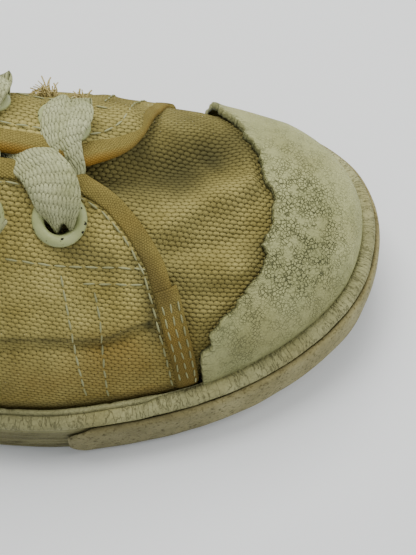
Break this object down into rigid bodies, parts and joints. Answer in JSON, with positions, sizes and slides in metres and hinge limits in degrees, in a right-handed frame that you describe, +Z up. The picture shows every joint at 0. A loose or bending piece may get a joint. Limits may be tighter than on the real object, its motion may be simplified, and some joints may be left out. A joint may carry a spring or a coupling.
{
  "type": "worn canvas sneaker",
  "caption": "Child's worn low canvas lace-up shoe for the right foot, with a torn rubber toe cap, stepped side band, toe bumper, bound quarters, painted eyelets and flat criss-cross lacing",
  "frame": {"origin": "on the floor, under the middle of the shoe's length and width", "axes": "+X from heel to toe, +Z up, -Y the outer side of the foot"},
  "size_m": [0.2, 0.0752, 0.0684],
  "materials": {
    "canvas": "coarse olive-tan cotton canvas, faded, stained and fuzzy",
    "side_rubber": "aged grey-green rubber, finely cracked, dirt in the cracks",
    "tread_rubber": "worn tan tread rubber",
    "insole_cloth": "worn cotton sock lining over a thin foam board",
    "painted_eyelet": "cream paint over metal, chipped",
    "lace_cotton": "flat woven cotton lace, matted"
  },
  "bodies": {
    "root": {"outsole": "tread_rubber", "side_band": "side_rubber", "toe_bumper": "side_rubber", "toe_cap": "side_rubber", "upper": "canvas", "tongue": "canvas", "insole": "insole_cloth", "eyelet_outer_1": "painted_eyelet", "eyelet_outer_2": "painted_eyelet", "eyelet_outer_3": "painted_eyelet", "eyelet_outer_4": "painted_eyelet", "eyelet_inner_1": "painted_eyelet", "eyelet_inner_2": "painted_eyelet", "eyelet_inner_3": "painted_eyelet", "eyelet_inner_4": "painted_eyelet", "lace_crossing_1": "lace_cotton", "lace_crossing_2": "lace_cotton", "lace_crossing_3": "lace_cotton"}
  },
  "joints": []
}
